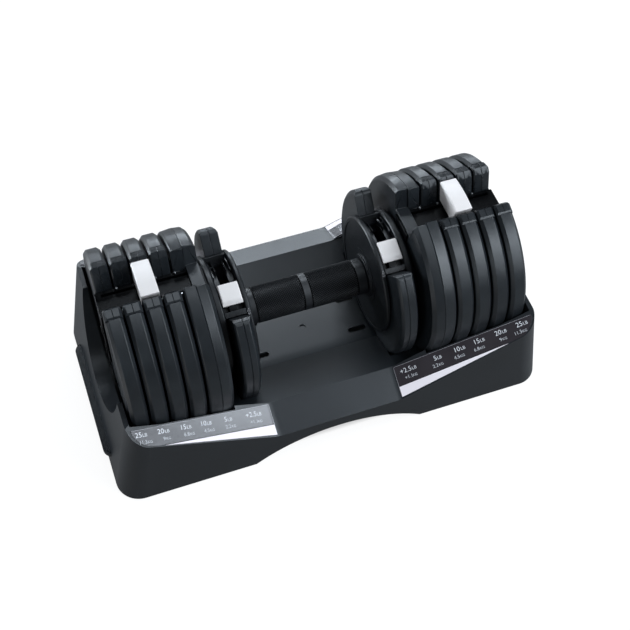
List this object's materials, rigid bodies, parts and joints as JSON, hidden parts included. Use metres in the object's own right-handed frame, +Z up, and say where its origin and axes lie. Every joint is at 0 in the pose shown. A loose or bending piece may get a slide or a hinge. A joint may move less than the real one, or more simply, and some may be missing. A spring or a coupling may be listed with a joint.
{
  "type": "adjustable dumbbell",
  "caption": "Adjustable dumbbell with sliding weight selectors, resting in its moulded tray with ramped label panels.",
  "frame": {"origin": "middle of the tray's base, on the ground", "axes": "+X along the handle to the right, +Y to the back, +Z up"},
  "size_m": [0.398, 0.202, 0.1706],
  "materials": {
    "tray_plastic": "satin moulded",
    "foot_rubber": "matte",
    "label_strip": "gloss print film",
    "wedge_white": "gloss print film",
    "bright_steel": "turned",
    "grip_plastic": "diamond knurl",
    "drum_plastic": "satin moulded",
    "plate_paint": "satin powder coat",
    "insert_plastic": "satin moulded",
    "mechanism_black": "gloss",
    "silver_cap": "satin silver"
  },
  "bodies": {
    "tray": {"tray": "tray_plastic", "rubber_feet": "foot_rubber", "label_front_left": "label_strip", "label_front_right": "label_strip", "label_back_left": "label_strip", "label_back_right": "label_strip", "wedge_trims": "wedge_white"},
    "dumbbell": {"handle_tube": "bright_steel", "grip_sleeve": "grip_plastic", "inner_flange_left": "drum_plastic", "inner_flange_right": "drum_plastic", "drum_housing_left": "drum_plastic", "drum_housing_right": "drum_plastic", "outer_disc_left": "drum_plastic", "outer_disc_right": "drum_plastic", "addon_inner_left": "plate_paint", "addon_inner_right": "plate_paint", "addon_outer_left": "plate_paint", "addon_outer_right": "plate_paint", "beam_left": "mechanism_black", "beam_right": "mechanism_black", "detent_pins_left": "bright_steel", "detent_pins_right": "bright_steel", "beam_cap_left": "mechanism_black", "beam_cap_right": "mechanism_black", "end_screws": "mechanism_black", "thick_inner_left": "plate_paint", "thick_inner_right": "plate_paint", "thick_outer_left": "plate_paint", "thick_outer_right": "plate_paint", "plate_10_left": "plate_paint", "plate_10_right": "plate_paint", "insert_10_left": "insert_plastic", "insert_10_right": "insert_plastic", "plate_15_left": "plate_paint", "plate_15_right": "plate_paint", "insert_15_left": "insert_plastic", "insert_15_right": "insert_plastic"},
    "selector_left": {"selector_cap_left": "silver_cap", "selector_fork_left": "mechanism_black"},
    "addon_selector_left": {"addon_button_left": "silver_cap", "latch_rotor_left": "mechanism_black"},
    "loose_20_left": {"plate_20_left": "plate_paint", "insert_20_left": "insert_plastic"},
    "loose_25_left": {"plate_25_left": "plate_paint", "insert_25_left": "insert_plastic"},
    "selector_right": {"selector_cap_right": "silver_cap", "selector_fork_right": "mechanism_black"},
    "addon_selector_right": {"addon_button_right": "silver_cap", "latch_rotor_right": "mechanism_black"},
    "loose_20_right": {"plate_20_right": "plate_paint", "insert_20_right": "insert_plastic"},
    "loose_25_right": {"plate_25_right": "plate_paint", "insert_25_right": "insert_plastic"}
  },
  "joints": [
    {"name": "dumbbell_lift", "type": "slide", "parent": "tray", "child": "dumbbell", "axis": [0, 0, 1], "range_m": [0, 0.15]},
    {"name": "selector_slide_left", "type": "slide", "parent": "dumbbell", "child": "selector_left", "axis": [-1, 0, 0], "range_m": [-0.032, 0.032]},
    {"name": "addon_selector_turn_left", "type": "hinge", "parent": "dumbbell", "child": "addon_selector_left", "pos_m": [-0.0694, 0, 0.09], "axis": [-1, 0, 0], "range_deg": [0, 37]},
    {"name": "release_20_left", "type": "slide", "parent": "dumbbell", "child": "loose_20_left", "axis": [0, 0, -1], "range_m": [0, 0.15]},
    {"name": "release_25_left", "type": "slide", "parent": "dumbbell", "child": "loose_25_left", "axis": [0, 0, -1], "range_m": [0, 0.15]},
    {"name": "selector_slide_right", "type": "slide", "parent": "dumbbell", "child": "selector_right", "axis": [1, 0, 0], "range_m": [-0.032, 0.032]},
    {"name": "addon_selector_turn_right", "type": "hinge", "parent": "dumbbell", "child": "addon_selector_right", "pos_m": [0.0694, 0, 0.09], "axis": [-1, 0, 0], "range_deg": [0, 37]},
    {"name": "release_20_right", "type": "slide", "parent": "dumbbell", "child": "loose_20_right", "axis": [0, 0, -1], "range_m": [0, 0.15]},
    {"name": "release_25_right", "type": "slide", "parent": "dumbbell", "child": "loose_25_right", "axis": [0, 0, -1], "range_m": [0, 0.15]}
  ],
  "couplings": [
    {"joint": "release_20_left", "follows": "dumbbell_lift", "ratio": 1},
    {"joint": "release_25_left", "follows": "dumbbell_lift", "ratio": 1},
    {"joint": "release_20_right", "follows": "dumbbell_lift", "ratio": 1},
    {"joint": "release_25_right", "follows": "dumbbell_lift", "ratio": 1}
  ]
}
